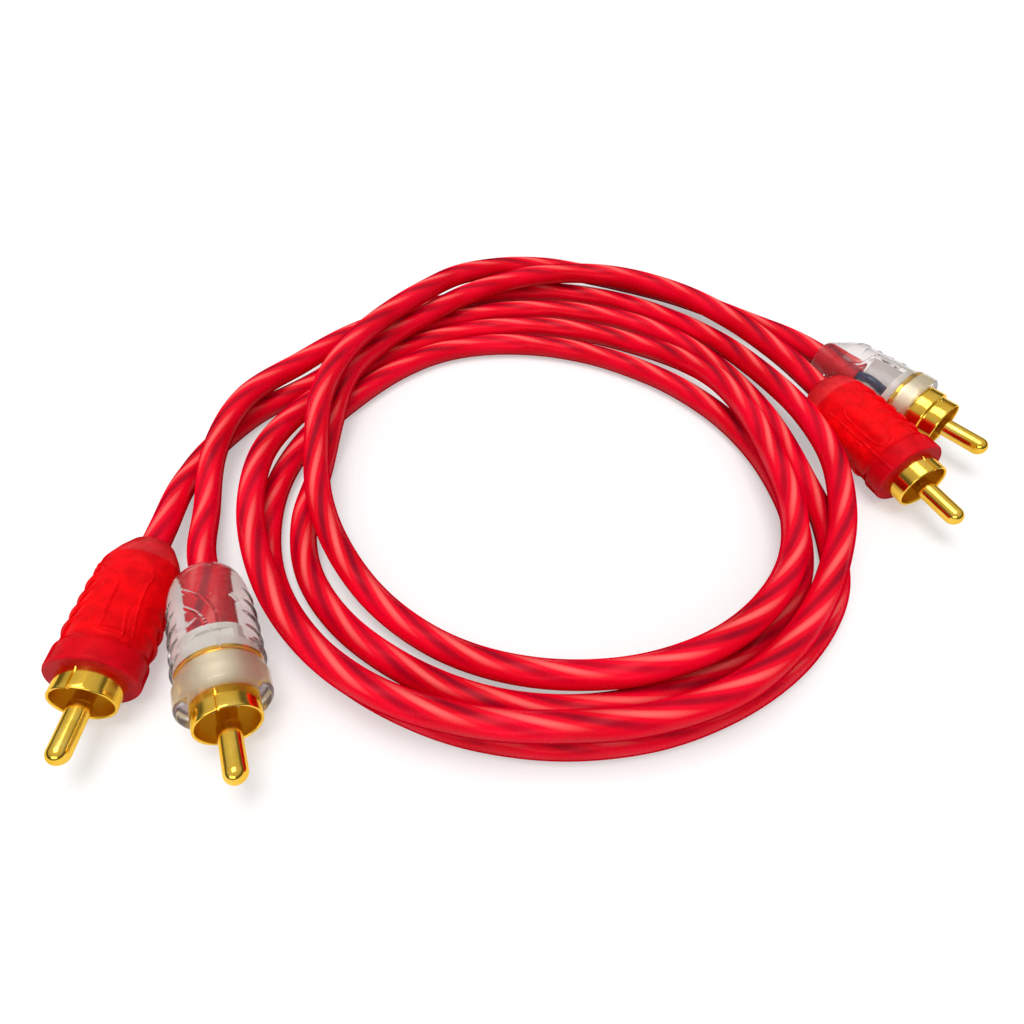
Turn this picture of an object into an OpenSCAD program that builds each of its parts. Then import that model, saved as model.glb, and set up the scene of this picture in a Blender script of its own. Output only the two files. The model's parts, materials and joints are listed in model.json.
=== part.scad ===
// Two-channel phono interconnect lead, wound into a flat ring.
// Two round cables lie side by side in one coil. Each end of each cable carries a
// moulded plug with a gold-plated sleeve and a centre pin. Millimetres, Z up, floor at z = 0.

/* [Cable] */
// Outside diameter of each round jacket
cable_d = 4.5; // [4.2:0.1:4.6]
// Flat sides of the coil's tube
coil_sides = 6; // [6:2:8]
// Flat sides of the loose runs' tube
run_sides = 8; // [8:2:12]
// How far the jacket reaches into a plug
jacket_in = 9.3; // [8.5:0.1:9.3]
// The same in the left clear plug, which is stripped shorter
jacket_deep = 13.4; // [12:0.1:13.4]

/* [Plug contacts] */
// Diameter of the centre pin
pin_d = 3.2; // [3.1:0.05:3.3]
// Length of pin standing out of the sleeve's mouth
pin_free = 8.5; // [7.5:0.1:9.5]
// Inside diameter of the sleeve
sleeve_bore = 8.3; // [8.2:0.05:8.4]
// Outside diameter of the sleeve
sleeve_d = 9.2; // [9:0.05:9.4]
// Outside diameter of the stepped sleeve's rear part
step_d = 10; // [9.6:0.1:10]
// Outside diameter of the stepped sleeve's mouth
mouth_d = 8.9; // [8.7:0.05:9]
// Width of the seam along the sleeve
seam_w = 0.3; // [0.2:0.05:0.6]

/* [Plug body] */
// Cable entry to the sleeve's mouth
plug_len = 27.5; // [27:0.1:29]
// Front face of the collar, from the cable entry
collar_face = 24.2; // [23.6:0.1:24.6]
// The same on the plug with the stepped sleeve
short_face = 21.8; // [21.2:0.1:22.4]
// Outside diameter of the collar
collar_d = 13; // [12.6:0.1:13.4]
// Outside diameter of the grip
grip_d = 12.2; // [12:0.1:12.4]
// Height over the two flat panels
panel_h = 11.4; // [11.2:0.1:11.8]
// Slanted ridges on each side of a grip
ridge_count = 4; // [2:1:5]

/* [Hidden] */
$fn = 48;
fit = 0.02;
cable_r = cable_d / 2;
pin_r = pin_d / 2;
grip_r = grip_d / 2;
collar_r = collar_d / 2;
jacket_red = [0.86, 0.02, 0.08];
grip_red = [0.84, 0.05, 0.07];
grip_clear = [0.86, 0.84, 0.82, 0.45];
gold = [0.86, 0.66, 0.22];
insulator_cream = [0.82, 0.78, 0.70];
mould_white = [0.86, 0.85, 0.81];
wire_blue = [0.10, 0.18, 0.36];
screen_grey = [0.72, 0.66, 0.58];

// Inside of a plug, measured from the cable entry
cavity_r = 4.45;
plate_x = 18;
plate_t = 0.4;
plate_r = 5.2;
plate_hole_r = 2.6;
insulator_end = 22.5;
cup_x = 15.5;
cup_r = 1.1;
pin_root = 17.6;
root_r = pin_r - 0.2;
block_x = 16.2;
signal_r = 0.7;
screen_r = 0.45;

// Centre of the coil on the floor
coil_x = -5.2;
coil_y = -4.4;

// Each plug: centre of the sleeve's mouth, heading, dip of the axis towards the pin
left_red_at = [[-69.7, -52.6, 6.8], -90.5, -1.9];
left_clear_at = [[-48.9, -55.7, 6.8], -67, -2.5];
right_clear_at = [[70.3, 4.1, 6.5], -52, 0.2];
right_red_at = [[60.6, -11.7, 6.4], -67, 1.8];

// Each plug's turn about its axis: of the grip, and of what is moulded inside it
left_red_turn = [-28, -28];
left_clear_turn = [-8, 90];
right_clear_turn = [20, -40];
right_red_turn = [58, 58];

// Coil of each cable: [radius, height] at every twelfth of a turn, from 30 degrees on
coil_start = 30;
red_lay = [
    [54.3, 2.25], [53.4, 2.25], [53.9, 2.25], [52.7, 2.25], [48.6, 2.25], [47.5, 2.25],
    [53, 2.25], [52.8, 2.25], [51.9, 2.25], [51.4, 2.25], [51.2, 2.25], [48.3, 2.25],
    [44.1, 2.25], [43.2, 2.25], [39.8, 2.25], [37.8, 2.25], [38.9, 2.25], [42.3, 2.25],
    [47.1, 2.25], [47.4, 2.25], [46.9, 2.25], [45.9, 2.25], [45.5, 2.25], [41.6, 2.6]
];
clear_lay = [
    [57.7, 5.9], [58.8, 3.3], [61.6, 2.25], [59, 2.25], [52.6, 5.3], [51.6, 7.2],
    [51.2, 7.2], [52.6, 7.2], [51.6, 7.1], [52.8, 7.1], [52, 7.2], [51.1, 7.2],
    [49.2, 2.9], [48.2, 2.25], [46.9, 2.25], [44.9, 2.9], [41.3, 7.2], [40.8, 7.2],
    [45, 7.2], [45.7, 7.4], [42.3, 4.2], [40.2, 3], [39.8, 5], [41, 8.5]
];

// Loose runs of each cable: [angle, radius, height] round the coil's centre
red_left = [[0, 65.4, 2.25], [15, 60.5, 2.25]];
clear_left = [[350, 60.1, 3.8], [2, 60.6, 6.1], [15, 60.2, 7.2]];
red_right = [
    [15, 42, 5.6], [30, 45.2, 7.3], [45, 47.8, 7.2], [60, 50.9, 7.1], [75, 55.9, 7.2],
    [90, 60.8, 7.2], [105, 63.3, 7.2], [120, 61.8, 7.6], [135, 59.1, 7.9], [148, 57.9, 7.7]
];
clear_right = [
    [15, 43.2, 11], [30, 45.4, 12.4], [45, 48.2, 12.2], [60, 52.6, 11.7], [75, 61.8, 8.8],
    [90, 66.8, 6.1], [105, 67.1, 4], [120, 67.5, 3.1], [135, 66.2, 4]
];

// Angles run clockwise seen from above, starting at the left
function station(angle, radius, height) =
    [coil_x - radius * cos(angle), coil_y + radius * sin(angle), height];
function stations(list) = [for (s = list) station(s[0], s[1], s[2])];
function unit(v) = v / norm(v);
function last(list) = list[len(list) - 1];

// Value half way between two stations of a smooth lay
function before(lay, i) = i > 0 ? lay[i - 1] : 2 * lay[0] - lay[1];
function after(lay, i) = i < len(lay) ? lay[i] : 2 * last(lay) - lay[len(lay) - 2];
function midway(lay, i) =
    (9 * (lay[i] + lay[i + 1]) - before(lay, i) - after(lay, i + 2)) / 16;
function lay_step(lay, k) = k % 2 == 0 ? lay[k / 2] : midway(lay, (k - 1) / 2);
function coil_points(lay) = [
    for (k = [0 : 2 * len(lay) - 2])
        let (s = lay_step(lay, k)) station(coil_start + 15 * k, s[0], s[1])
];

// A point on a plug's axis, x from its cable entry
function on_plug(at, x) = at[0] + (x - plug_len) * [
    cos(at[1]) * cos(at[2]), sin(at[1]) * cos(at[2]), -sin(at[2])
];
function in_plug(at, deep) = [
    on_plug(at, deep), on_plug(at, 0), on_plug(at, -cable_d)
];
function out_plug(at) = [
    on_plug(at, -cable_d), on_plug(at, 0), on_plug(at, jacket_in)
];

// No centre lower than a jacket lying on the floor
function above(p) = [p[0], p[1], max(p[2], cable_r)];

// A coil's end runs straight for one diameter on each side of where it meets the run
function straight(p, t) = [p - cable_d * t, p, p + cable_d * t];
function inner_part(list) = [for (i = [1 : len(list) - 2]) list[i]];
function whole(at_left, deep, left, lay, right, at_right) =
    let (
        a = concat(in_plug(at_left, deep), stations(left)),
        c = coil_points(lay),
        b = concat(stations(right), out_plug(at_right)),
        first_t = unit(c[1] - last(a)),
        last_t = unit(b[0] - c[len(c) - 2])
    )
    [for (p = concat(a, straight(c[0], first_t), inner_part(c), straight(last(c), last_t), b)) above(p)];

red_path = whole(left_red_at, jacket_in, red_left, red_lay, red_right, right_red_at);
clear_path = whole(left_clear_at, jacket_deep, clear_left, clear_lay, clear_right, right_clear_at);
coil_len = 2 * 24 + 2;
red_from = len(red_left) + 4;
clear_from = len(clear_left) + 4;
red_to = red_from + coil_len - 2;
clear_to = clear_from + coil_len - 2;

// Tube along points i to j of a path, each ring square to the path
function tangent(p, i) = unit(p[min(i + 1, len(p) - 1)] - p[max(i - 1, 0)]);
function ring(c, t, r, n) =
    let (side = unit(cross([0, 0, 1], t)), up = cross(t, side))
    [for (k = [0 : n - 1]) c + r * (cos(360 * k / n - 90) * side + sin(360 * k / n - 90) * up)];
function wall(m, n) = [
    for (i = [0 : m - 2], k = [0 : n - 1], half = [0, 1])
        let (a = i * n + k, b = i * n + (k + 1) % n)
            half == 0 ? [a, a + n, b + n] : [a, b + n, b]
];
function caps(m, n) = concat(
    [for (k = [1 : n - 2]) [0, k, k + 1]],
    [for (k = [1 : n - 2]) [(m - 1) * n, (m - 1) * n + k + 1, (m - 1) * n + k]]
);
module tube(p, i, j, r, n) {
    rings = [for (q = [i : j]) each ring(p[q], tangent(p, q), r, n)];
    polyhedron(rings, concat(wall(j - i + 1, n), caps(j - i + 1, n)), convexity = 10);
}

// Least gap between two cables' jackets, and each cable's length
function to_line(p, a, b) =
    let (d = b - a, t = max(0, min(1, (p - a) * d / (d * d)))) norm(p - a - t * d);
function apart(p, q, skip) = min([
    for (i = [0 : len(p) - 1], j = [0 : len(q) - 2])
        if (i < j - skip || i > j + 1 + skip) to_line(p[i], q[j], q[j + 1])
]) - cable_d;
function length_of(p, i = 0, s = 0) =
    i == len(p) - 1 ? s : length_of(p, i + 1, s + norm(p[i + 1] - p[i]));
echo(red_self_gap = apart(red_path, red_path, 3));
echo(clear_self_gap = apart(clear_path, clear_path, 3));
echo(red_clear_gap = apart(red_path, clear_path, -1));
echo(clear_red_gap = apart(clear_path, red_path, -1));
echo(red_length = length_of(red_path), clear_length = length_of(clear_path));

// Plug pieces, x along the axis from the cable entry towards the pin
module turned(profile) {
    rotate([0, 90, 0]) rotate_extrude() polygon(profile);
}
module rod(r, a, b) {
    translate([a, 0, 0]) rotate([0, 90, 0]) cylinder(r = r, h = b - a);
}

module grip_outside(face, cone) {
    nose = cone
        ? [[2.95, 0], [3.2, 0.4], [grip_r - 0.2, 5.6]]
        : [[3.1, 0], [3.9, 0.5], [4.8, 1.6], [5.4, 3], [5.75, 4.7]];
    body = [[grip_r, face - 4.6], [grip_r, face - 4], [collar_r, face - 3.2]];
    front = [[collar_r, face - 0.5], [collar_r - 0.4, face], [0, face]];
    turned(concat([[0, 0]], nose, body, front));
}
module ridges(face, side) {
    for (i = [0 : ridge_count - 1])
        translate([face - 7 - 2.3 * i, 0, 0])
            rotate([0, 24 * side, 0]) rotate([90 * side, 0, 0]) rotate([0, 90, 0])
                rotate([0, 0, -40])
                    rotate_extrude(angle = 80) translate([-grip_r + 0.35, 0]) circle(r = 0.55, $fn = 24);
}
module panel_cut(face, up) {
    translate([7, -6, up > 0 ? panel_h / 2 : -panel_h / 2 - 3]) cube([face - 12.5, 12, 3]);
}
module grip(face, sleeve_r, cone, deep = jacket_in) {
    difference() {
        union() {
            grip_outside(face, cone);
            ridges(face, 1);
            ridges(face, -1);
        }
        panel_cut(face, 1);
        panel_cut(face, -1);
        rod(cable_r + fit, -1, deep + 0.1);
        rod(cavity_r, deep + 0.08, plate_x);
        rod(plate_r + fit, plate_x - fit, plate_x + plate_t + fit);
        rod(sleeve_r + fit, plate_x, face + 1);
    }
}

module pin() {
    rod(cup_r, cup_x, pin_root);
    rod(root_r, pin_root, plug_len);
    rod(pin_r, plug_len, plug_len + pin_free - pin_r);
    translate([plug_len + pin_free - pin_r, 0, 0]) sphere(r = pin_r);
}

module insulator() {
    difference() {
        union() {
            rod(plate_hole_r - fit, plate_x, insulator_end);
            rod(sleeve_bore / 2 - fit, plate_x + plate_t + fit, insulator_end);
        }
        rod(root_r + fit, plate_x - 1, insulator_end + 1);
    }
}

module sleeve(outer_r) {
    difference() {
        union() {
            rod(plate_r, plate_x, plate_x + plate_t);
            rod(outer_r, plate_x, plug_len);
        }
        rod(plate_hole_r, plate_x - 1, plate_x + plate_t + 1);
        rod(sleeve_bore / 2, plate_x + plate_t, plug_len + 1);
        translate([collar_face + 0.4, -seam_w / 2, 0]) cube([5, seam_w, 6]);
    }
}
module stepped_sleeve() {
    step_x = plug_len - 2.7;
    difference() {
        union() {
            rod(plate_r, plate_x, plate_x + plate_t);
            rod(step_d / 2, plate_x, step_x);
            rod(mouth_d / 2, plate_x, plug_len);
        }
        rod(plate_hole_r, plate_x - 1, plate_x + plate_t + 1);
        rod(sleeve_bore / 2, plate_x + plate_t, plug_len + 1);
        translate([step_x + 0.3, -seam_w, 0]) cube([5, 2 * seam_w, 6]);
    }
}

module inner_mould(deep = jacket_in) {
    difference() {
        union() {
            intersection() {
                rod(cavity_r - 0.1, deep + 0.3, plate_x - fit);
                translate([deep, 1.3, -3.4]) cube([12, 4, 6.8]);
            }
            rod(cavity_r - 0.1, block_x, plate_x - fit);
        }
        rod(root_r + fit, block_x - 1, plate_x + 1);
        translate([max(12.2, deep + 1.3), 3.2, -5]) cube([1.6, 3, 10]);
        translate([block_x - 1, -2.8, -6]) cube([4, 2.4, 3.6]);
    }
}

// Short wires between the stripped jacket and the contacts
signal_points = [
    [9.4, -0.9, 0.2], [10.4, -1.1, 0.3], [11.8, -1.8, 0.4], [13.4, -1.5, 0.3],
    [14.6, -0.5, 0.1], [cup_x - fit, 0, 0]
];
screen_points = [
    [9.4, -0.6, -1.5], [10.4, -0.8, -1.7], [12, -1.8, -2.6], [14, -2, -3.2],
    [16, -1.6, -3.3], [plate_x - fit, -1.6, -3.3]
];
// The same wire where the jacket reaches deeper: shorter, and not so far from the axis
function shorter(points, deep, spread) = let (
    start = points[0][0], end = last(points)[0], k = (end - deep - 0.1) / (end - start)
) [for (p = points) [end - k * (end - p[0]), spread * p[1], spread * p[2]]];
module signal_wire(deep = jacket_in) {
    tube(deep > jacket_in ? shorter(signal_points, deep, 0.5) : signal_points, 0, 5, signal_r, 8);
}
module screen_wire(deep = jacket_in) {
    tube(deep > jacket_in ? shorter(screen_points, deep, 1) : screen_points, 0, 5, screen_r, 8);
}

module placed(at, turn = 0) {
    translate(at[0]) rotate([0, at[2], at[1]]) translate([-plug_len, 0, 0])
        rotate([turn, 0, 0]) children();
}

module left_red_grip()
    color(grip_red) placed(left_red_at, left_red_turn[0]) grip(collar_face, sleeve_d / 2, false);
module left_red_pin() color(gold) placed(left_red_at) pin();
module left_red_insulator() color(insulator_cream) placed(left_red_at) insulator();
module left_red_sleeve() color(gold) placed(left_red_at) sleeve(sleeve_d / 2);
module left_red_mould() color(mould_white) placed(left_red_at, left_red_turn[1]) inner_mould();
module left_red_signal_wire() color(wire_blue) placed(left_red_at, left_red_turn[1]) signal_wire();
module left_red_screen_wire() color(screen_grey) placed(left_red_at, left_red_turn[1]) screen_wire();

module left_clear_grip()
    color(grip_clear) placed(left_clear_at, left_clear_turn[0])
        grip(collar_face, sleeve_d / 2, false, jacket_deep);
module left_clear_pin() color(gold) placed(left_clear_at) pin();
module left_clear_insulator() color(insulator_cream) placed(left_clear_at) insulator();
module left_clear_sleeve() color(gold) placed(left_clear_at) sleeve(sleeve_d / 2);
module left_clear_mould()
    color(mould_white) placed(left_clear_at, left_clear_turn[1]) inner_mould(jacket_deep);
module left_clear_signal_wire()
    color(wire_blue) placed(left_clear_at, left_clear_turn[1]) signal_wire(jacket_deep);
module left_clear_screen_wire()
    color(screen_grey) placed(left_clear_at, left_clear_turn[1]) screen_wire(jacket_deep);

module right_clear_grip()
    color(grip_clear) placed(right_clear_at, right_clear_turn[0]) grip(short_face, step_d / 2, true);
module right_clear_pin() color(gold) placed(right_clear_at) pin();
module right_clear_insulator() color(insulator_cream) placed(right_clear_at) insulator();
module right_clear_sleeve() color(gold) placed(right_clear_at) stepped_sleeve();
module right_clear_mould() color(mould_white) placed(right_clear_at, right_clear_turn[1]) inner_mould();
module right_clear_signal_wire()
    color(wire_blue) placed(right_clear_at, right_clear_turn[1]) signal_wire();
module right_clear_screen_wire()
    color(screen_grey) placed(right_clear_at, right_clear_turn[1]) screen_wire();

module right_red_grip()
    color(grip_red) placed(right_red_at, right_red_turn[0]) grip(collar_face, sleeve_d / 2, false);
module right_red_pin() color(gold) placed(right_red_at) pin();
module right_red_insulator() color(insulator_cream) placed(right_red_at) insulator();
module right_red_sleeve() color(gold) placed(right_red_at) sleeve(sleeve_d / 2);
module right_red_mould() color(mould_white) placed(right_red_at, right_red_turn[1]) inner_mould();
module right_red_signal_wire() color(wire_blue) placed(right_red_at, right_red_turn[1]) signal_wire();
module right_red_screen_wire() color(screen_grey) placed(right_red_at, right_red_turn[1]) screen_wire();

module red_cable_left_run() color(jacket_red) tube(red_path, 0, red_from, cable_r, run_sides);
module red_cable_coil() color(jacket_red) tube(red_path, red_from, red_to, cable_r, coil_sides);
module red_cable_right_run()
    color(jacket_red) tube(red_path, red_to, len(red_path) - 1, cable_r, run_sides);
module clear_cable_left_run() color(jacket_red) tube(clear_path, 0, clear_from, cable_r, run_sides);
module clear_cable_coil() color(jacket_red) tube(clear_path, clear_from, clear_to, cable_r, coil_sides);
module clear_cable_right_run()
    color(jacket_red) tube(clear_path, clear_to, len(clear_path) - 1, cable_r, run_sides);

left_red_grip();
left_red_pin();
left_red_insulator();
left_red_sleeve();
left_red_mould();
left_red_signal_wire();
left_red_screen_wire();
left_clear_grip();
left_clear_pin();
left_clear_insulator();
left_clear_sleeve();
left_clear_mould();
left_clear_signal_wire();
left_clear_screen_wire();
right_clear_grip();
right_clear_pin();
right_clear_insulator();
right_clear_sleeve();
right_clear_mould();
right_clear_signal_wire();
right_clear_screen_wire();
right_red_grip();
right_red_pin();
right_red_insulator();
right_red_sleeve();
right_red_mould();
right_red_signal_wire();
right_red_screen_wire();
red_cable_left_run();
red_cable_coil();
red_cable_right_run();
clear_cable_left_run();
clear_cable_coil();
clear_cable_right_run();
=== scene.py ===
"""Coiled two-channel phono lead: its looks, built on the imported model.

Lengths are in millimetres, and mesh() and the cords turn them into metres. The camera, lamps, bump
distances and the floor's shading are in metres.
"""
import json
import math

import bpy
import numpy as np
from mathutils import Euler, Matrix, Vector
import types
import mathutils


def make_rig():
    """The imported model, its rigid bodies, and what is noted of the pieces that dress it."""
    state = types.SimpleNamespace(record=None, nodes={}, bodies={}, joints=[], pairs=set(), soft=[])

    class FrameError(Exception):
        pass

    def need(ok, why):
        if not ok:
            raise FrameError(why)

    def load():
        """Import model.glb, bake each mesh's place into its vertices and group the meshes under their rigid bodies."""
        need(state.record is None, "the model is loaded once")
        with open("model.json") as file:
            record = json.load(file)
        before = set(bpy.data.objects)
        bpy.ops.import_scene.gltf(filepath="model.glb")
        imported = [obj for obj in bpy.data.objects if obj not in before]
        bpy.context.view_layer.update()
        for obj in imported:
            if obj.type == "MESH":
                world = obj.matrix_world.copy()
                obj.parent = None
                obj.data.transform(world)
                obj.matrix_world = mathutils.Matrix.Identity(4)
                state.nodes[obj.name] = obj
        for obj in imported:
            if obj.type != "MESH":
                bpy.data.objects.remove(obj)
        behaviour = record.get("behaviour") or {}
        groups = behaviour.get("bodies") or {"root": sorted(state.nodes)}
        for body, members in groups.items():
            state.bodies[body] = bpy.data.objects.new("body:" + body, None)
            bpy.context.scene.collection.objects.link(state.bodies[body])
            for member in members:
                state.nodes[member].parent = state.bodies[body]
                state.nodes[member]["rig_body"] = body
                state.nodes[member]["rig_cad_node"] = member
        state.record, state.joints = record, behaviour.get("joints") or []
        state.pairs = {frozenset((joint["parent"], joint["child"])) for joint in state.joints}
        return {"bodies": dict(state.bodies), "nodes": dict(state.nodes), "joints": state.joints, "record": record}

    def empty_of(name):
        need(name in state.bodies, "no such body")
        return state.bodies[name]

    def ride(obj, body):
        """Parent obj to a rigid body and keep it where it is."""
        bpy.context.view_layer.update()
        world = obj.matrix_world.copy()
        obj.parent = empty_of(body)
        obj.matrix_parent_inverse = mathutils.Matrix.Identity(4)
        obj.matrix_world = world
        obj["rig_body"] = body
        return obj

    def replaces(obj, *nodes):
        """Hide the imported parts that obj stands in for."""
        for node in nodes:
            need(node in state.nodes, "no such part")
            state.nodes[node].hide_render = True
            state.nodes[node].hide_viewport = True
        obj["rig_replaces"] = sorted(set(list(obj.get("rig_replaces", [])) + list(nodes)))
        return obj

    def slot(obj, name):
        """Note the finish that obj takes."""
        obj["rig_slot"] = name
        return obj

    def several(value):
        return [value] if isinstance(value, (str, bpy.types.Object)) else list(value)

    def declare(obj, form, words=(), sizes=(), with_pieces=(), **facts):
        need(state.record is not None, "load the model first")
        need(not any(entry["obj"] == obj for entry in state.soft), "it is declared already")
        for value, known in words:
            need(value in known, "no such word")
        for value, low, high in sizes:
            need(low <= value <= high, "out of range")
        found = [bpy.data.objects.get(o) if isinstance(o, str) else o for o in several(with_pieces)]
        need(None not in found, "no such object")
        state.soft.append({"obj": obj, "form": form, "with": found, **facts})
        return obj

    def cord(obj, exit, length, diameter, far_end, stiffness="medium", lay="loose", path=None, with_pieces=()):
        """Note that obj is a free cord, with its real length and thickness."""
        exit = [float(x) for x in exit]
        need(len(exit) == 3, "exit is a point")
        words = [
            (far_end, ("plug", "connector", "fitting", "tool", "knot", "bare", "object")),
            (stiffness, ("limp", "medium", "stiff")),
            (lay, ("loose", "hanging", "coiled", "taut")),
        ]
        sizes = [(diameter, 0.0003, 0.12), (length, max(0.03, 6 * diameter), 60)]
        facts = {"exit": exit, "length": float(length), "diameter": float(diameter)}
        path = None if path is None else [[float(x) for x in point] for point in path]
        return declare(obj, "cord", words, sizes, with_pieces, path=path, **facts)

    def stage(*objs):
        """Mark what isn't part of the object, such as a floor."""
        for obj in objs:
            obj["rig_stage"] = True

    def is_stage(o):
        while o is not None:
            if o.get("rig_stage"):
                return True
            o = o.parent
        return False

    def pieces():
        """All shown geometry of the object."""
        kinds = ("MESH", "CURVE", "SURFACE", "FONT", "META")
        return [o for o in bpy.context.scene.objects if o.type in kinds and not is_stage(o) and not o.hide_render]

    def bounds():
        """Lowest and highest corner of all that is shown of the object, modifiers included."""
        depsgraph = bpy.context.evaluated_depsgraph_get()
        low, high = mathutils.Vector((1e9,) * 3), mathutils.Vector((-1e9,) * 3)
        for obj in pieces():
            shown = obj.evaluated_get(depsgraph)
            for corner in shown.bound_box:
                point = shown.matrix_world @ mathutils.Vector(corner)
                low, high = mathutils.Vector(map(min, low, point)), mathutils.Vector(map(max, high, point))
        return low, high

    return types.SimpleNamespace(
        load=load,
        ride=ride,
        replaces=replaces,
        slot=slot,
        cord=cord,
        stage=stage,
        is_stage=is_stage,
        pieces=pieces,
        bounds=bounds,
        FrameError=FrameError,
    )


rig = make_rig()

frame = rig.load()
cad_box = [list(v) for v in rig.bounds()]
scene = bpy.context.scene
scene.view_settings.view_transform = "Standard"
UP = (0, 0, 1.0)

# ---------------------------------------------------------------- camera
camera = bpy.data.objects.new("Camera", bpy.data.cameras.new("Camera"))
camera.location = (-0.0112, -0.0964, 0.0962)
camera.rotation_euler = Euler((math.radians(41.3), 0, 0))
camera.data.sensor_width = 36
camera.data.lens = 24.86
camera.data.clip_start = 0.005
scene.collection.objects.link(camera)
scene.camera = camera

# ---------------------------------------------------------------- routes, as in the part's source
CABLE_D, PLUG_LEN = 4.5, 27.5
SHORT_JACKET, LONG_JACKET = 9.3, 13.4  # how far a jacket reaches into its plug
JACKET_IN = {
    "left_red": SHORT_JACKET, "left_clear": LONG_JACKET,
    "right_clear": SHORT_JACKET, "right_red": SHORT_JACKET,
}
COIL = np.array((-5.2, -4.4))  # the ring's middle
# Each plug: its sleeve's mouth, its heading in degrees and how far it dips
PLUGS = {
    "left_red": ((-69.7, -52.6, 6.8), -90.5, -1.9),
    "left_clear": ((-48.9, -55.7, 6.8), -67, -2.5),
    "right_clear": ((70.3, 4.1, 6.5), -52, 0.2),
    "right_red": ((60.6, -11.7, 6.4), -67, 1.8),
}
# Radius and height of each cable in its coil, at even angles over two passes
LAY_FROM, LAY_EVERY = 30, 30
RED_LAY = [
    (54.3, 2.25), (53.4, 2.25), (53.9, 2.25), (52.7, 2.25), (48.6, 2.25), (47.5, 2.25),
    (53, 2.25), (52.8, 2.25), (51.9, 2.25), (51.4, 2.25), (51.2, 2.25), (48.3, 2.25),
    (44.1, 2.25), (43.2, 2.25), (39.8, 2.25), (37.8, 2.25), (38.9, 2.25), (42.3, 2.25),
    (47.1, 2.25), (47.4, 2.25), (46.9, 2.25), (45.9, 2.25), (45.5, 2.25), (41.6, 2.6),
]
CLEAR_LAY = [
    (57.7, 5.9), (58.8, 3.3), (61.6, 2.25), (59, 2.25), (52.6, 5.3), (51.6, 7.2),
    (51.2, 7.2), (52.6, 7.2), (51.6, 7.1), (52.8, 7.1), (52, 7.2), (51.1, 7.2),
    (49.2, 2.9), (48.2, 2.25), (46.9, 2.25), (44.9, 2.9), (41.3, 7.2), (40.8, 7.2),
    (45, 7.2), (45.7, 7.4), (42.3, 4.2), (40.2, 3), (39.8, 5), (41, 8.5),
]
# Angle, radius and height along each loose run between the coil and a plug
RED_LEFT = [(0, 65.4, 2.25), (15, 60.5, 2.25)]
CLEAR_LEFT = [(350, 60.1, 3.8), (2, 60.6, 6.1), (15, 60.2, 7.2)]
RED_RIGHT = [
    (15, 42, 5.6), (30, 45.2, 7.3), (45, 47.8, 7.2), (60, 50.9, 7.1), (75, 55.9, 7.2),
    (90, 60.8, 7.2), (105, 63.3, 7.2), (120, 61.8, 7.6), (135, 59.1, 7.9), (148, 57.9, 7.7),
]
CLEAR_RIGHT = [
    (15, 43.2, 11), (30, 45.4, 12.4), (45, 48.2, 12.2), (60, 52.6, 11.7), (75, 61.8, 8.8),
    (90, 66.8, 6.1), (105, 67.1, 4), (120, 67.5, 3.1), (135, 66.2, 4),
]


def station(angle, radius, height):
    """A point of the ring. Angles run from the left, over the back."""
    a = math.radians(angle)
    return np.array((COIL[0] - radius * math.cos(a), COIL[1] + radius * math.sin(a), height))


def plug_matrix(name):
    """From millimetres along the plug, x from its cable entry, to the part's frame."""
    mouth, heading, dip = PLUGS[name]
    turn = Euler((0, math.radians(dip), math.radians(heading))).to_matrix().to_4x4()
    return Matrix.Translation(mouth) @ turn @ Matrix.Translation((-PLUG_LEN, 0, 0))


def on_plug(name, x):
    """A point on the plug's axis."""
    return np.array(plug_matrix(name) @ Vector((x, 0, 0)))


def coil_points(lay):
    """The lay's stations, with a smooth one half way between each two."""
    lay = np.array(lay, float)
    ends = np.vstack([2 * lay[0] - lay[1], lay, 2 * lay[-1] - lay[-2]])
    out = []
    for k in range(2 * len(lay) - 1):
        i = k // 2 + 1
        at = ends[i]
        if k % 2:
            at = (9 * (ends[i] + ends[i + 1]) - ends[i - 1] - ends[i + 2]) / 16
        out.append(station(LAY_FROM + LAY_EVERY / 2 * k, *at))
    return out


def route(first, left, lay, right, last):
    """A cable's points from inside one plug to inside the other, none below the floor."""
    pts = [on_plug(first, x) for x in (JACKET_IN[first], 0, -CABLE_D)]
    pts += [station(*s) for s in left] + coil_points(lay) + [station(*s) for s in right]
    pts += [on_plug(last, x) for x in (-CABLE_D, 0, JACKET_IN[last])]
    return on_floor(np.array(pts))


def on_floor(pts):
    """The points, lifted where a cable along them would sink into the floor."""
    pts[:, 2] = np.maximum(pts[:, 2], CABLE_D / 2)
    return pts


def smooth(pts, step):
    """Points a step apart on a smooth curve through pts, and how far along it each lies."""
    h = np.linalg.norm(np.diff(pts, axis=0), axis=1)
    slope = np.diff(pts, axis=0) / h[:, None]
    tan = np.empty_like(pts)
    tan[0], tan[-1] = slope[0], slope[-1]
    w = h[1:, None] / (h[:-1] + h[1:])[:, None]
    tan[1:-1] = w * slope[:-1] + (1 - w) * slope[1:]
    dense = []
    t = np.linspace(0, 1, 40, endpoint=False)[:, None]
    for i in range(len(h)):
        leave = (2 * t**3 - 3 * t**2 + 1) * pts[i] + (t**3 - 2 * t**2 + t) * h[i] * tan[i]
        reach = (-2 * t**3 + 3 * t**2) * pts[i + 1] + (t**3 - t**2) * h[i] * tan[i + 1]
        dense.append(leave + reach)
    dense = np.vstack(dense + [pts[-1:]])
    s = np.concatenate([[0], np.cumsum(np.linalg.norm(np.diff(dense, axis=0), axis=1))])
    along = np.linspace(0, s[-1], int(round(s[-1] / step)) + 1)
    return np.stack([np.interp(along, s, dense[:, k]) for k in range(3)], 1), along


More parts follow.
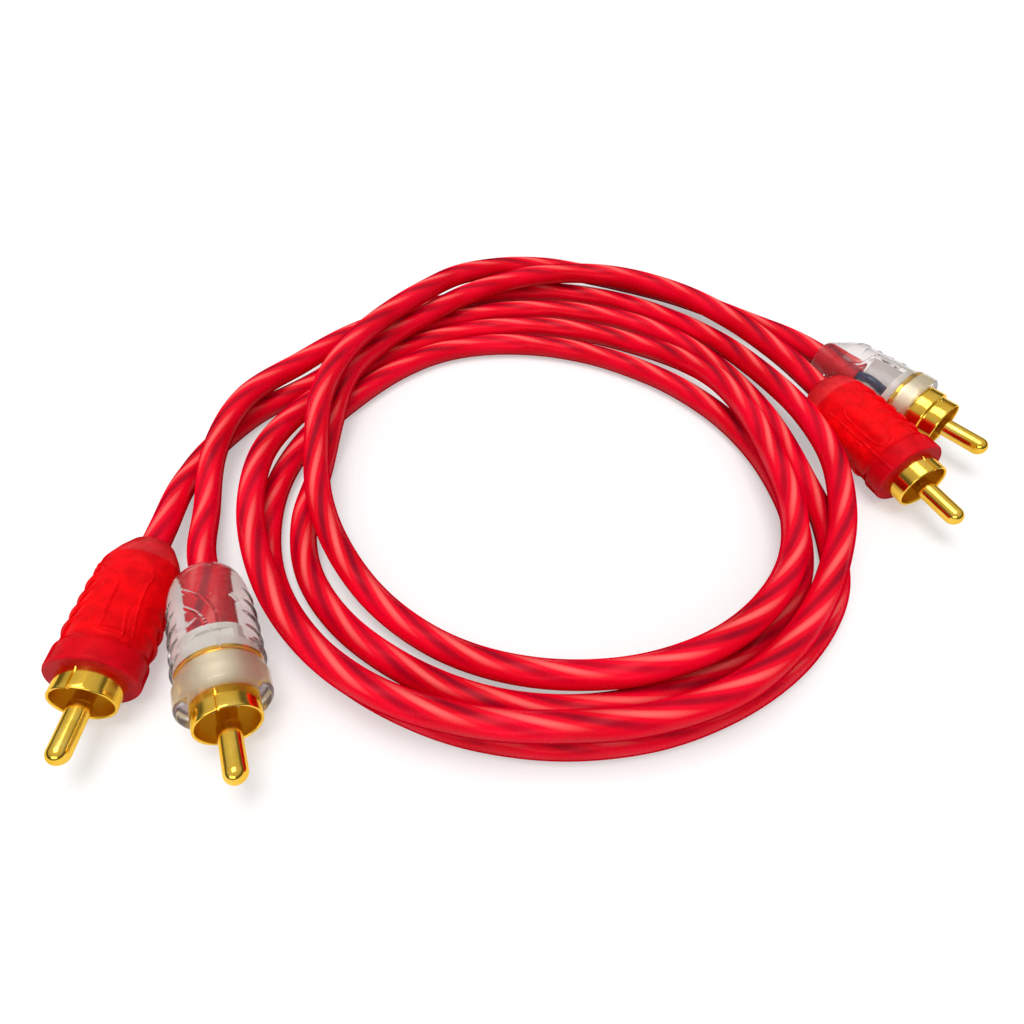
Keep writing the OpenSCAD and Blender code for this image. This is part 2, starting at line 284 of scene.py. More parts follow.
# ---------------------------------------------------------------- meshes
CABLE_SHARP, PLUG_SHARP = 60, 38  # degrees from which an edge stays sharp


def mesh(name, verts, faces, sharp_from, **attributes):
    """An object from points in millimetres, with float attributes on its points."""
    me = bpy.data.meshes.new(name)
    metres = (np.asarray(verts, float) / 1000).tolist()
    me.from_pydata(metres, [], [list(map(int, f)) for f in faces])
    for key, values in attributes.items():
        data = me.attributes.new(key, "FLOAT", "POINT").data
        data.foreach_set("value", np.asarray(values, np.float32))
    me.shade_smooth()
    if sharp_from:
        me.set_sharp_from_angle(angle=math.radians(sharp_from))
    ob = bpy.data.objects.new(name, me)
    scene.collection.objects.link(ob)
    return ob


def dressed(ob, finish, slot, *nodes):
    """The object with its finish, on the part's one body, in place of the solids that it shows."""
    ob.data.materials.append(finish)
    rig.ride(ob, "root")
    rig.slot(ob, slot)
    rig.replaces(ob, *nodes)
    return ob


def grid_faces(m, n, first=0):
    """Quads between m closed rings of n points."""
    out = []
    for i in range(m - 1):
        for k in range(n):
            a, b = first + i * n + k, first + i * n + (k + 1) % n
            out.append((a, b, b + n, a + n))
    return out


def capped_faces(m, n, first=0):
    """The same, with the first and last ring filled."""
    last = first + (m - 1) * n
    caps = [list(range(first, first + n))[::-1], list(range(last, last + n))]
    return grid_faces(m, n, first) + caps


def circle(n):
    return np.arange(n) * 2 * math.pi / n


def wrapped(angle):
    """The angle between minus and plus half a turn."""
    return (angle + math.pi) % (2 * math.pi) - math.pi


def lathe(x, r, angles):
    """Points about a plug's axis, one row per distance x, with a radius per row or per point."""
    x, r, angles = np.broadcast_arrays(x, r, angles)
    return np.stack([x, r * np.cos(angles), r * np.sin(angles)], -1)


def lathe_profile(profile, angles):
    x, r = np.array(profile, float).T[:, :, None]
    return lathe(x, r, angles)


def placed(name, verts, turn=0):
    """Points on a plug, turned about its axis by degrees, in the part's frame."""
    m = np.array(plug_matrix(name) @ Matrix.Rotation(math.radians(turn), 4, "X"))
    return verts.reshape(-1, 3) @ m[:3, :3].T + m[:3, 3]


def tangents(path):
    tan = np.gradient(path, axis=0)
    return tan / np.linalg.norm(tan, axis=1)[:, None]


def spokes(angles, sides, ups):
    """Unit vectors at the angles, from the side towards up, for each point of a path."""
    across, over = np.cos(angles)[None, :, None], np.sin(angles)[None, :, None]
    return across * sides[:, None, :] + over * ups[:, None, :]


# ---------------------------------------------------------------- shading
EXPORTED_GLOSS = 0.4  # plain value left on a linked specular level, for the export


class Shading:
    """The nodes of a material or of the world, made and linked by short calls."""

    def __init__(self, tree):
        self.nodes, self.links = tree.nodes, tree.links

    def feed(self, socket, value):
        """A plain value set on the socket, or an output linked to it."""
        if isinstance(value, (int, float, tuple)):
            socket.default_value = value
        else:
            self.links.new(value, socket)

    def attribute(self, name):
        node = self.nodes.new("ShaderNodeAttribute")
        node.attribute_name = name
        return node.outputs["Fac"]

    def object_coords(self):
        return self.nodes.new("ShaderNodeTexCoord").outputs["Object"]

    def noise(self, scale, detail, rough, coords):
        node = self.nodes.new("ShaderNodeTexNoise")
        values = {"Scale": scale, "Detail": detail, "Roughness": rough, "Vector": coords}
        for key, value in values.items():
            self.feed(node.inputs[key], value)
        return node.outputs[0]

    def ramp(self, value, stops):
        node = self.nodes.new("ShaderNodeValToRGB")
        elements = node.color_ramp.elements
        while len(elements) < len(stops):
            elements.new(0.5)
        for element, (position, colour) in zip(elements, stops):
            element.position = position
            element.color = (*colour, 1)
        self.feed(node.inputs[0], value)
        return node.outputs[0]

    def mix(self, a, b, factor, blend="MIX"):
        node = self.nodes.new("ShaderNodeMix")
        node.data_type = "RGBA"
        node.blend_type = blend
        for socket, value in ((0, factor), (6, a), (7, b)):
            self.feed(node.inputs[socket], value)
        return node.outputs[2]

    def span(self, value, low, high, out_low, out_high):
        """The value taken from one range to another, and held at its ends."""
        node = self.nodes.new("ShaderNodeMapRange")
        for socket, v in enumerate((value, low, high, out_low, out_high)):
            self.feed(node.inputs[socket], v)
        return node.outputs[0]

    def maths(self, operation, a, b):
        node = self.nodes.new("ShaderNodeMath")
        node.operation = operation
        self.feed(node.inputs[0], a)
        self.feed(node.inputs[1], b)
        return node.outputs[0]


class Finish(Shading):
    """A material with one Principled shader."""

    def __init__(self, name, **sockets):
        self.material = bpy.data.materials.new(name)
        self.material.use_nodes = True
        super().__init__(self.material.node_tree)
        self.bsdf = self.nodes["Principled BSDF"]
        for key, value in sockets.items():
            self.give(key.replace("_", " "), value)

    def give(self, key, value):
        self.feed(self.bsdf.inputs[key], value)

    def bump(self, height, strength, distance):
        node = self.nodes.new("ShaderNodeBump")
        for key, value in {"Strength": strength, "Distance": distance, "Height": height}.items():
            self.feed(node.inputs[key], value)
        self.give("Normal", node.outputs[0])

    def fading_gloss(self, level, near, far):
        """Gloss that fades out as the surface turns away, as on soft see-through plastic."""
        facing = self.nodes.new("ShaderNodeLayerWeight")
        facing.inputs["Blend"].default_value = 0.5
        gloss = self.span(facing.outputs["Facing"], near, far, level, 0.0)
        self.give("Specular IOR Level", gloss)
        self.give("Specular IOR Level", EXPORTED_GLOSS)


# ---------------------------------------------------------------- cables
TWIST = 29.4  # one full turn of the two cores
JACKET_RELIEF = 0.14
CABLE_STEP, CABLE_SIDES = 0.7, 44
SWELL = 0.006  # how much the jacket follows the cores, as a share of its radius


def jacket_material():
    """Glossy see-through red over two twisted cores.

    It carries a painted highlight where a core crests on top, painted shade in a streak where the two cores part, on
    the upper side, and painted shade on the underside.
    """
    look = Finish("jacket_red", IOR=1.5, Specular_Tint=(1.0, 0.11, 0.13, 1))
    look.fading_gloss(0.55, 0.10, 0.60)
    cosine, sine, above = (look.attribute(key) for key in ("lay_cos", "lay_sin", "above"))
    squares = (look.maths("MULTIPLY", v, v) for v in (cosine, sine))
    lobe = look.maths("SUBTRACT", *squares)  # 1 on a core, -1 between the two
    coords = look.object_coords()
    cloud = look.noise(75, 2, 0.5, coords)
    body = look.ramp(cloud, [(0.35, (0.76, 0.001, 0.013)), (0.65, (0.95, 0.002, 0.026))])
    # painted shade: the groove between the two cores, darkened on the upper side
    dark = look.maths("MULTIPLY", look.span(lobe, -0.25, -0.95, 0.0, 1.0),
                      look.span(above, 0.40, 0.92, 0.0, 1.0))
    dark = look.maths("MULTIPLY", dark, look.span(cloud, 0.35, 0.65, 1.0, 0.55))
    # painted highlight: pale salmon where a core crests on the upper side
    pale = look.maths("MULTIPLY", look.span(lobe, 0.40, 1.0, 0.0, 1.0),
                      look.span(above, 0.74, 0.99, 0.0, 1.0))
    # painted shade: the underside of the cable darkened
    painted_underside_shade = look.span(above, 0.35, -0.45, 0.0, 0.8)
    colour = look.mix(body, (0.46, 0.001, 0.008, 1.0), painted_underside_shade)
    colour = look.mix(colour, (0.27, 0.001, 0.014, 1.0), dark)
    look.give("Base Color", look.mix(colour, (0.99, 0.14, 0.13, 1.0), pale))
    look.give("Roughness", look.span(look.noise(1400, 2, 0.6, coords), 0.3, 0.7, 0.25, 0.32))
    look.bump(look.span(lobe, -1.0, 1.0, 0.0, 1.0), 1.0, JACKET_RELIEF / 1000)
    return look.material


def cable(name, points):
    """A cable as one round tube, with the lay of its cores written on its points."""
    path, along = smooth(points, CABLE_STEP)
    path = on_floor(path)
    tan = tangents(path)
    sides = np.cross(UP, tan)
    sides /= np.linalg.norm(sides, axis=1)[:, None]
    angles = circle(CABLE_SIDES)
    # seen through the jacket the cores cross the top of the cable at a shallow angle,
    # and turn under it steeply
    from_top = wrapped(angles - math.pi / 2)
    wrap = from_top + 0.8 * np.sin(from_top) + 0.15 * np.sin(2 * from_top)
    phase = wrap[None, :] - (2 * math.pi * along / TWIST)[:, None]
    r = CABLE_D / 2 * (1 + SWELL * (np.cos(2 * phase) - 1))
    # above: how far each point faces up; the jacket paints its highlight and shade by it
    above = np.broadcast_to(np.cos(from_top), phase.shape)
    verts = path[:, None, :] + r[:, :, None] * spokes(angles, sides, np.cross(tan, sides))
    ob = mesh(name, verts.reshape(-1, 3), capped_faces(len(path), CABLE_SIDES), CABLE_SHARP,
              lay_cos=np.cos(phase).ravel(), lay_sin=np.sin(phase).ravel(), above=above.ravel())
    nodes = (name + "_left_run", name + "_coil", name + "_right_run")
    return dressed(ob, jacket, "jacket", *nodes), path


jacket = jacket_material()
red_cable, red_path = cable(
    "red_cable", route("left_red", RED_LEFT, RED_LAY, RED_RIGHT, "right_red"))
clear_cable, clear_path = cable(
    "clear_cable", route("left_clear", CLEAR_LEFT, CLEAR_LAY, CLEAR_RIGHT, "right_clear"))

# ---------------------------------------------------------------- plug shapes
GRIP_R, COLLAR_R, PANEL = 6.1, 6.5, 5.7  # PANEL: from the axis to a flat panel
NOSE_END, PANEL_END = 6.2, 5.2  # a panel lies between the nose and this far behind the face
POCKET_END, ENTRY_R = 18.2, 2.1  # the moulding's inside: behind the sleeve, and round the jacket
FACE = {"left_red": 24.2, "left_clear": 24.2, "right_clear": 21.8, "right_red": 24.2}
SLEEVE_R = {"left_red": 4.6, "left_clear": 4.6, "right_clear": 5.0, "right_red": 4.6}
GRIP_TURN = {"left_red": -28, "left_clear": -8, "right_clear": 20, "right_red": 58}
INSIDE_TURN = {"left_red": -28, "left_clear": 90, "right_clear": -40, "right_red": 58}
RIDGES, RIDGE_START, RIDGE_STEP = 5, 6.4, 2.6  # counted back from the face
RIDGE_HIGH, RIDGE_REACH, RIDGE_SLANT = 0.44, math.radians(44), 0.2
RIDGE_RISE, RIDGE_DROP = 2.3, 0.16
LINE_HIGH = {"red": 0.11, "clear": 0.2}
LINE_HALF, GROOVE_OFF, GROOVE_HALF, GROOVE_SHARE = 0.14, 0.32, 0.15, 0.4
LINE_STEPS = 8  # points from one corner of a rounded line to the next
# Raised lines of each grip: (distance from the cable entry, distance round from the top's middle)
LINES = {
    "left_red": [
        [(6.2, 8.2), (7.2, 7.4), (8.0, 5.4), (8.9, 3.7), (10.4, 2.3), (11.8, 1.8), (15.2, 1.8),
         (18.8, 1.6)],
        [(10.6, 4.0), (12.5, 3.9), (15.7, 3.6), (18.9, 2.8)],
        [(8.0, -1.8), (8.7, -2.4), (11.0, -2.0), (15.2, -2.3), (19.0, -3.0)],
        [(14.4, -1.1), (15.9, -1.0), (17.9, -1.4), (19.6, -1.7)],
        [(18.8, 2.6), (19.4, 1.2), (19.6, -1.7)],
    ],
    "left_clear": [
        [(6.6, 3.1), (9.0, 0.7), (11.8, -0.9), (13.7, -1.3), (18.6, -0.9)],
        [(9.9, 3.2), (11.5, 1.7), (13.0, 0.9), (15.7, 0.0)],
        [(12.8, 5.2), (13.3, 3.2), (12.6, 1.1)],
        [(9.0, -0.8), (9.0, -2.2), (9.1, -3.7), (9.9, -4.6)],
        [(15.7, 4.9), (16.2, 3.3), (15.5, 2.4)],
    ],
    "right_clear": [
        [(10.2, -2.0), (9.7, 0.9), (8.3, 2.1), (7.0, 4.2), (6.2, 6.4)],
        [(10.2, -2.0), (16.6, -2.2)],
    ],
    "right_red": [
        [(7.6, 0.9), (11.6, 0.7), (17.9, 0.5), (24.0, 0.2)],
        [(9.0, -1.4), (10.6, -0.7), (15.0, -0.6), (18.6, -1.0), (19.8, -2.2), (18.8, -3.6),
         (15.0, -4.2), (10.6, -3.8), (9.0, -2.6), (9.0, -1.4)],
        [(15.2, 1.5), (16.4, 1.2), (16.8, 1.8)],
    ],
}
# Profiles: (distance from the cable entry, radius)
DOME = [
    (0, 3.0), (0.08, 3.3), (0.25, 3.6), (0.5, 3.92), (0.9, 4.3), (1.6, 4.8), (2.3, 5.16),
    (3, 5.42), (3.8, 5.63), (4.6, 5.76), (4.9, 5.84),
]
NOSE = {
    "left_red": [(0, 3.0), (0.1, 3.25), (0.3, 3.5), (2.4, 4.75), (4.3, 5.62), (4.55, 5.72),
                 (4.75, 5.80), (5.1, 5.9)],
    "left_clear": DOME,
    "right_clear": [(0, 2.95), (0.2, 3.15), (0.5, 3.35), (5.2, 5.72), (5.5, 5.86), (5.9, 5.96)],
    "right_red": DOME,
}
# The same from the grip's face, which is 0
COLLAR = [
    (-4.6, GRIP_R), (-4.1, GRIP_R + 0.03), (-3.75, GRIP_R + 0.16), (-3.45, COLLAR_R - 0.07),
    (-3.2, COLLAR_R), (-0.55, COLLAR_R), (-0.3, COLLAR_R - 0.07), (-0.1, COLLAR_R - 0.22),
    (0, COLLAR_R - 0.45),
]
# Sleeves, from the flange's front edge to the inside of the rolled lip
STRAIGHT = [
    (18.4, 5.2), (18.5, 4.6), (22.0, 4.6), (24.3, 4.6), (27.15, 4.6), (27.34, 4.575),
    (27.45, 4.5), (27.5, 4.4), (27.47, 4.28), (27.38, 4.19),
]
STEPPED = [
    (18.4, 5.2), (18.5, 5.0), (21.9, 5.0), (24.2, 5.0), (24.42, 4.97), (24.55, 4.9),
    (24.62, 4.75), (24.68, 4.55), (24.8, 4.47), (25.0, 4.45), (27.2, 4.45), (27.38, 4.42),
    (27.47, 4.34), (27.5, 4.27), (27.47, 4.2), (27.38, 4.16),
]
BORE_R, FLANGE_END = 4.15, 18.6
FLANGE = [(18.0, 2.62), (18.0, 5.1), (18.08, 5.2)]
BORE = [(27.2, BORE_R), (25, BORE_R), (22.5, BORE_R), (18.42, BORE_R), (18.42, 2.62)]
SEAM_HALF, SEAM_DEEP, SEAM_R = 0.2, 0.26, 4.6  # half its width, its depth, and where that lies
PIN_R, PIN_ROOT_R, PIN_END = 1.6, 1.4, 36


def to_segments(x, arc, line):
    """Distance of each point from a polyline laid on the grip."""
    best = np.full(np.broadcast(x, arc).shape, 1e9)
    for (x0, a0), (x1, a1) in zip(line, line[1:]):
        dx, da = x1 - x0, a1 - a0
        t = np.clip(((x - x0) * dx + (arc - a0) * da) / (dx * dx + da * da), 0, 1)
        best = np.minimum(best, np.hypot(x - x0 - t * dx, arc - a0 - t * da))
    return best


def rounded_line(line):
    """A polyline with its corners drawn as curves."""
    pts = np.array(line, float)
    if len(pts) < 3:
        return line
    ends = np.vstack([2 * pts[0] - pts[1], pts, 2 * pts[-1] - pts[-2]])
    out = []
    for i in range(1, len(pts)):
        a, b, c, d = ends[i - 1:i + 3]
        for t in np.linspace(0, 1, LINE_STEPS, endpoint=False):
            bend = (2 * a - 5 * b + 4 * c - d) * t**2 + (3 * b - a - 3 * c + d) * t**3
            out.append(0.5 * (2 * b + (c - a) * t + bend))
    return [tuple(p) for p in out] + [tuple(pts[-1])]


def flattened(X, T, R, face):
    """Flat panels above and below, with soft ends."""
    flat = PANEL / np.maximum(np.abs(np.sin(T)), 1e-3)
    inside = np.clip((X - NOSE_END) / 0.9, 0, 1) * np.clip((face - PANEL_END - X) / 0.8, 0, 1)
    inside = inside**2 * (3 - 2 * inside)
    soft = 0.5 * (R + flat - np.sqrt((R - flat) ** 2 + 0.02))
    return R + (np.minimum(R, soft + 0.06) - R) * inside


def ridged(X, T, R, face):
    """Slanted ridges like gills on both sides: they swell towards the pin and then drop."""
    for side in (0.0, math.pi):
        away = wrapped(T - side)
        up = away if side == 0 else -away
        for i in range(RIDGES):
            u = X - (face - RIDGE_START - RIDGE_STEP * i - RIDGE_SLANT * GRIP_R * up)
            reach = np.clip(1 - (np.abs(up) / RIDGE_REACH) ** 2, 0, 1) ** 0.7
            rise = np.clip(1 + u / RIDGE_RISE, 0, 1) ** 1.4
            swell = np.where(u < 0, rise, np.exp(-(u / RIDGE_DROP) ** 2))
            R = R + RIDGE_HIGH * reach * swell * (0.7 if i == RIDGES - 1 else 1)
    return R


def lined(X, T, R, lines, high):
    """Raised lines, each with a faint groove beside it."""
    arc = GRIP_R * wrapped(T - math.pi / 2)
    for line in lines:
        d = to_segments(X, arc, rounded_line(line))
        groove = GROOVE_SHARE * np.exp(-((d - GROOVE_OFF) / GROOVE_HALF) ** 2)
        R = R + high * (np.exp(-(d / LINE_HALF) ** 2) - groove)
    return R


def grip(name):
    """A moulded grip as one closed shell: its outside, front face, pocket and bore."""
    face, kind = FACE[name], "clear" if "clear" in name else "red"
    prof = np.array(NOSE[name] + [(face + x, r) for x, r in COLLAR])
    xs = np.unique(np.round(np.concatenate([prof[:, 0], np.arange(0.1, face, 0.125)]), 4))
    angles = circle(168)
    X, T = np.meshgrid(xs, angles, indexing="ij")
    R = np.interp(X, prof[:, 0], prof[:, 1])
    if kind == "red":
        R = flattened(X, T, R, face)
    R = ridged(X, T, R, face)
    R = lined(X, T, R, LINES[name], LINE_HIGH[kind])
    pocket, deep = SLEEVE_R[name] - 0.2, JACKET_IN[name] - 0.1
    back = [(deep, 0.02), (deep, ENTRY_R), (0, ENTRY_R)]
    front = [(face, r) for r in np.linspace(COLLAR_R - 0.6, pocket, 6)]
    front += [(POCKET_END, pocket), (POCKET_END, 2.0), (POCKET_END, 0.02)]
    verts = np.concatenate([
        lathe_profile(back, angles), lathe(X, R, T), lathe_profile(front, angles)])
    ob = mesh(name + "_grip_moulding", placed(name, verts, GRIP_TURN[name]),
              capped_faces(len(verts), len(angles)), PLUG_SHARP, along=verts[:, :, 0].ravel())
    return dressed(ob, finishes["grip_" + kind], "grip_" + kind, name + "_grip")


def sleeve(name):
    """The gold sleeve with flange, rolled lip and a seam on top, as one closed shell."""
    stepped = name == "right_clear"
    prof = FLANGE + (STEPPED if stepped else STRAIGHT) + BORE
    seam_start = 24.9 if stepped else 24.5
    dense = []
    for (x0, r0), (x1, r1) in zip(prof, prof[1:] + prof[:1]):
        k = max(1, int(math.hypot(x1 - x0, r1 - r0) / 0.5))
        dense += [(x0 + (x1 - x0) * i / k, r0 + (r1 - r0) * i / k) for i in range(k)]
    x, r = np.array(dense).T[:, :, None]
    seam_edges = np.array([0.02, 0.035, 0.045, 0.06])
    seam_angles = math.pi / 2 + np.concatenate([-seam_edges, seam_edges])
    angles = np.sort(np.concatenate([circle(120), seam_angles]))
    off = np.abs(angles - math.pi / 2) * SEAM_R
    cut = np.clip((SEAM_HALF - off) / 0.06, 0, 1) * SEAM_DEEP
    verts = lathe(x, r - cut * (x > seam_start) * (r > BORE_R + 0.02), angles).reshape(-1, 3)
    m, n = len(dense), len(angles)
    last = (m - 1) * n
    faces = grid_faces(m, n) + [(last + k, last + (k + 1) % n, (k + 1) % n, k) for k in range(n)]
    from_axis = np.hypot(verts[:, 1], verts[:, 2])
    # inner marks the bore, which the gold finish paints brighter as bounced light
    inner = from_axis < BORE_R + 0.08
    buried = np.clip((FACE[name] - 0.3 - verts[:, 0]) / 0.4, 0, 1)
    buried *= (from_axis > BORE_R + 0.08) * (verts[:, 0] > FLANGE_END)
    ob = mesh(name + "_sleeve_shell", placed(name, verts), faces, PLUG_SHARP,
              inner=inner, buried=buried)
    return dressed(ob, finishes["gold"], "gold", name + "_sleeve")


def pin(name):
    """The gold pin with its solder cup behind and a round tip."""
    root, full, tip = PIN_ROOT_R, PIN_R, PIN_END - PIN_R
    prof = [(15.5, 0.55), (15.5, 1.02), (15.58, 1.1), (17.5, 1.1), (17.6, root)]
    prof += [(17.6 + 0.5 * i, root) for i in range(1, 20)]
    prof += [(27.42, root), (27.5, root + 0.1), (27.56, full - 0.03), (27.66, full)]
    prof += [(27.7 + 0.5 * i, full) for i in range(1, 14)]
    quarter = np.linspace(0, math.pi / 2, 16)[:-1]
    prof += [(tip + full * math.sin(a), full * math.cos(a)) for a in quarter]
    angles = circle(64)
    ob = mesh(name + "_pin_turned", placed(name, lathe_profile(prof, angles)),
              capped_faces(len(prof), len(angles)), PLUG_SHARP)
    return dressed(ob, finishes["gold"], "gold", name + "_pin")


SIGNAL = [
    (9.4, -0.9, 0.2), (10.4, -1.1, 0.3), (11.8, -1.8, 0.4), (13.4, -1.5, 0.3),
    (14.6, -0.5, 0.1), (15.48, 0, 0),
]
SCREEN = [
    (9.4, -0.6, -1.5), (10.4, -0.8, -1.7), (12, -1.8, -2.6), (14, -2, -3.2),
    (16, -1.6, -3.3), (17.98, -1.6, -3.3),
]
WIRE_STEP, WIRE_SIDES, STRAND_TWIST = 0.15, 14, 4.2


def stripped(name, points, spread):
    """A short wire's points, drawn together where the jacket reaches deeper into its plug."""
    if JACKET_IN[name] <= SHORT_JACKET:
        return points
    start, end = points[0][0], points[-1][0]
    k = (end - JACKET_IN[name] - 0.1) / (end - start)
    return [(end - k * (end - x), spread * y, spread * z) for x, y, z in points]


def untwisted(path):
    """A side and an up vector at each point, carried along the path without twist."""
    tan = tangents(path)
    side = np.cross(UP, tan[0])
    sides = []
    for t in tan:
        side = side - side.dot(t) * t
        side /= np.linalg.norm(side)
        sides.append(side)
    sides = np.array(sides)
    return sides, np.cross(tan, sides)


def wire(name, kind, points, radius, strands=1):
    """A short wire inside a plug: one insulated core, or bare strands laid together."""
    path, along = smooth(np.array(points, float), WIRE_STEP)
    sides, ups = untwisted(path)
    ring = spokes(circle(WIRE_SIDES), sides, ups)
    verts, faces = [], []
    for s in range(strands):
        centre, thick = path, radius
        if strands > 1:
            turn = 2 * math.pi * (s / strands + along / STRAND_TWIST)
            aside = np.cos(turn)[:, None] * sides + np.sin(turn)[:, None] * ups
            centre, thick = path + 0.52 * radius * aside, radius * 0.5
        verts.append((centre[:, None, :] + thick * ring).reshape(-1, 3))
        faces += capped_faces(len(path), WIRE_SIDES, s * len(path) * WIRE_SIDES)
    ob = mesh(name + "_" + kind + "_core",
              placed(name, np.concatenate(verts), INSIDE_TURN[name]), faces, CABLE_SHARP)
    return dressed(ob, finishes[kind], kind, name + "_" + kind)


# ---------------------------------------------------------------- finishes of the plugs
def gold_material():
    """Bright plate with fine marks and dull patches.

    Its colour is painted brighter and deeper inside a sleeve, standing in for light bounced about in the bore, and it
    is pale and dull where the moulding covers it.
    """
    look = Finish("gold_plate", Metallic=1.0, Specular_Tint=(1.0, 0.86, 0.5, 1))
    coords = look.object_coords()
    patch, fine = look.noise(260, 3, 0.6, coords), look.noise(2600, 2, 0.6, coords)
    tone = look.ramp(patch, [
        (0.3, (0.82, 0.48, 0.045)), (0.55, (0.92, 0.57, 0.075)), (0.75, (0.98, 0.68, 0.15))])
    inner, buried = look.attribute("inner"), look.attribute("buried")
    # painted reflection: the bore gets a brighter, deeper gold for light bounced inside it
    colour = look.mix(tone, (1.0, 0.62, 0.05, 1.0), inner)
    look.give("Base Color", look.mix(colour, (0.92, 0.84, 0.64, 1.0), buried))
    rough = look.maths("ADD", look.span(patch, 0.35, 0.7, 0.09, 0.16),
                       look.span(fine, 0.3, 0.7, 0.0, 0.05))
    dull = look.maths("ADD", look.maths("MULTIPLY", inner, 0.2),
                      look.maths("MULTIPLY", buried, 0.45))
    look.give("Roughness", look.maths("ADD", rough, dull))
    look.bump(patch, 0.05, 0.00002)
    return look.material


def red_grip_material():
    """Satin see-through red moulding: paler nose and collar rim, mottled body."""
    look = Finish("grip_red_satin", IOR=1.45, Subsurface_Weight=0.04, Subsurface_Scale=0.002,
                  Subsurface_Radius=(1.0, 0.06, 0.05), Specular_Tint=(1.0, 0.14, 0.15, 1))
    look.fading_gloss(0.42, 0.10, 0.70)
    coords = look.object_coords()
    reach = 30  # the ramp's whole length in millimetres
    stops = [
        (0.0, (0.66, 0.010, 0.016)), (4.5, (0.86, 0.030, 0.036)), (4.95, (0.88, 0.003, 0.008)),
        (12, (0.99, 0.001, 0.004)), (19.0, (0.93, 0.001, 0.004)), (21.2, (0.74, 0.001, 0.007)),
        (24.1, (0.70, 0.002, 0.010)), (24.2, (0.54, 0.004, 0.012)),
    ]
    along = look.span(look.attribute("along"), 0, reach, 0, 1)
    body = look.ramp(along, [(x / reach, colour) for x, colour in stops])
    cloud, fine = look.noise(420, 3, 0.55, coords), look.noise(1900, 3, 0.6, coords)
    mottle = look.ramp(cloud, [(0.35, (0.78, 0.7, 0.8)), (0.6, (1.0, 1.0, 1.0))])
    look.give("Base Color", look.mix(body, mottle, 1.0, "MULTIPLY"))
    look.give("Roughness", look.span(fine, 0.3, 0.7, 0.34, 0.5))
    relief = look.maths("ADD", fine, look.maths("MULTIPLY", cloud, 3.0))
    look.bump(relief, 0.35, 0.00006)
    return look.material


def clear_grip_material():
    """Clear moulding with a milky haze and a faint warm tint."""
    look = Finish("grip_clear_haze", IOR=1.38, Transmission_Weight=0.97)
    coords = look.object_coords()
    cloud, fine = look.noise(300, 3, 0.55, coords), look.noise(1500, 3, 0.6, coords)
    look.give("Base Color", look.ramp(cloud, [(0.3, (0.97, 0.92, 0.89)), (0.7, (1.0, 0.97, 0.95))]))
    look.give("Roughness", look.span(fine, 0.3, 0.7, 0.09, 0.17))
    look.bump(cloud, 0.2, 0.00005)
    return look.material


def plain_material(name, dark, light, scale, rough, relief, **sockets):
    """A moulded or drawn finish: two tones, uneven gloss and a fine relief."""
    look = Finish(name, **sockets)
    coords = look.object_coords()
    cloud, fine = look.noise(scale, 3, 0.6, coords), look.noise(scale * 6, 2, 0.6, coords)
    look.give("Base Color", look.ramp(cloud, [(0.3, dark), (0.7, light)]))
    look.give("Roughness", look.span(fine, 0.3, 0.7, *rough))
    look.bump(fine, 0.25, relief)
    return look.material


finishes = {
    "grip_red": red_grip_material(),
    "grip_clear": clear_grip_material(),
    "gold": gold_material(),
    "insulator": plain_material(
        "insulator_cream", (0.70, 0.62, 0.46), (0.86, 0.78, 0.62), 300, (0.4, 0.6), 0.00003),
    "mould": plain_material(
        "mould_white", (0.86, 0.84, 0.80), (0.95, 0.94, 0.91), 260, (0.35, 0.55), 0.00005),
    "signal_wire": plain_material(
        "signal_wire_blue", (0.006, 0.020, 0.085), (0.014, 0.045, 0.15), 400, (0.15, 0.3), 0.00003,
        Coat_Weight=0.4),
    "screen_wire": plain_material(
        "screen_wire_tinned", (0.45, 0.36, 0.28), (0.72, 0.62, 0.52), 700, (0.2, 0.4), 0.00002,
        Metallic=1.0),
}
slots = {s["node"]: s["material_slot"] for s in frame["record"]["subparts"]}
for node, ob in frame["nodes"].items():
    if slots[node] in finishes:
        for s in ob.material_slots:
            s.material = finishes[slots[node]]

made = {}
for name in PLUGS:
    made[name] = [
        grip(name), sleeve(name), pin(name),
        wire(name, "signal_wire", stripped(name, SIGNAL, 0.5), 0.7),
        wire(name, "screen_wire", stripped(name, SCREEN, 1), 0.45, 5),
        frame["nodes"][name + "_insulator"], frame["nodes"][name + "_mould"],
    ]

cords = ((red_cable, red_path, "right_red"), (clear_cable, clear_path, "right_clear"))
for ob, path, plug in cords:
    length = float(np.linalg.norm(np.diff(path, axis=0), axis=1).sum()) / 1000
    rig.cord(ob, exit=tuple(path[0] / 1000), length=round(length, 3), diameter=CABLE_D / 1000,
            far_end="plug", stiffness="medium", lay="coiled", path=(path / 1000).tolist(),
            with_pieces=made[plug])

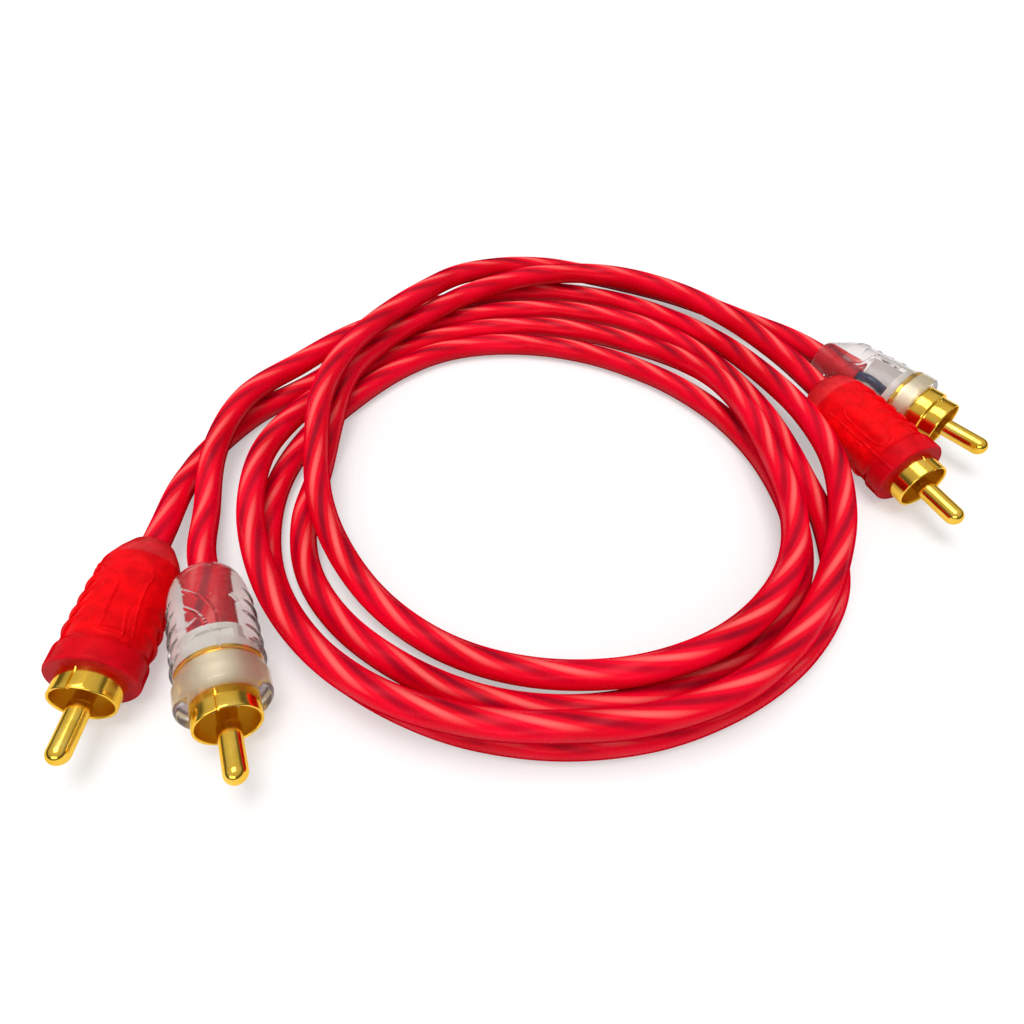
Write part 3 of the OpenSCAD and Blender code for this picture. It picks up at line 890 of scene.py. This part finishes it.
# ---------------------------------------------------------------- stage and light
FLOOR_HALF = 3000
corners = [(x, y, 0) for x, y in ((-1, -1), (1, -1), (1, 1), (-1, 1))]
floor = mesh("floor", np.array(corners) * FLOOR_HALF, [(0, 1, 2, 3)], None)
look = Finish("floor", Base_Color=(0.62, 0.62, 0.62, 1), Roughness=0.9, Specular_IOR_Level=0.1,
              Emission_Color=(1, 1, 1, 1))
# the floor shows white to the camera and in metal and glass, but doesn't light the part
seen = look.nodes.new("ShaderNodeLightPath")
bent = look.maths("MAXIMUM", seen.outputs["Is Glossy Ray"], seen.outputs["Is Transmission Ray"])
shown = look.maths("MAXIMUM", seen.outputs["Is Camera Ray"], bent)
place = look.nodes.new("ShaderNodeVectorMath")
place.operation = "LENGTH"
look.feed(place.inputs[0], look.object_coords())
lift = look.span(place.outputs["Value"], 0.14, 0.6, 0.40, 0.9)
look.give("Emission Strength", look.maths("MULTIPLY", shown, lift))
floor.data.materials.append(look.material)
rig.stage(floor)

world = bpy.data.worlds.new("World")
scene.world = world
world.use_nodes = True
sky = Shading(world.node_tree)
# a pale room: brighter overhead than at the horizon, so that metal has something to show
direction = sky.nodes.new("ShaderNodeTexCoord")
split = sky.nodes.new("ShaderNodeSeparateXYZ")
sky.feed(split.inputs[0], direction.outputs["Generated"])
greys = ((0.0, 0.40), (0.07, 0.12), (0.33, 0.13), (0.50, 0.55), (1.0, 0.76))
room = sky.ramp(split.outputs[2], [(height, (grey,) * 3) for height, grey in greys])
seen = sky.nodes.new("ShaderNodeLightPath")
white = (1.0, 1.0, 1.0, 1.0)
backdrop = sky.nodes["Background"]
sky.feed(backdrop.inputs["Color"], sky.mix(room, white, seen.outputs["Is Camera Ray"]))
backdrop.inputs["Strength"].default_value = 1.0


def lamp(name, place, power, wide, high):
    """A rectangular lamp, in metres and watts, that looks at the part."""
    data = bpy.data.lights.new(name, "AREA")
    data.shape = "RECTANGLE"
    data.size, data.size_y = wide, high
    data.energy = power
    ob = bpy.data.objects.new(name, data)
    ob.location = place
    ob.rotation_euler = (-Vector(place)).to_track_quat("-Z", "Y").to_euler()
    scene.collection.objects.link(ob)


lamp("key", (-0.06, -0.02, 0.62), 1.95, 0.40, 0.34)
lamp("front", (-0.12, -0.60, 0.27), 0.9, 0.50, 0.20)

json.dump({"cad": cad_box, "visual": [list(v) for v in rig.bounds()]}, open("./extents.json", "w"))
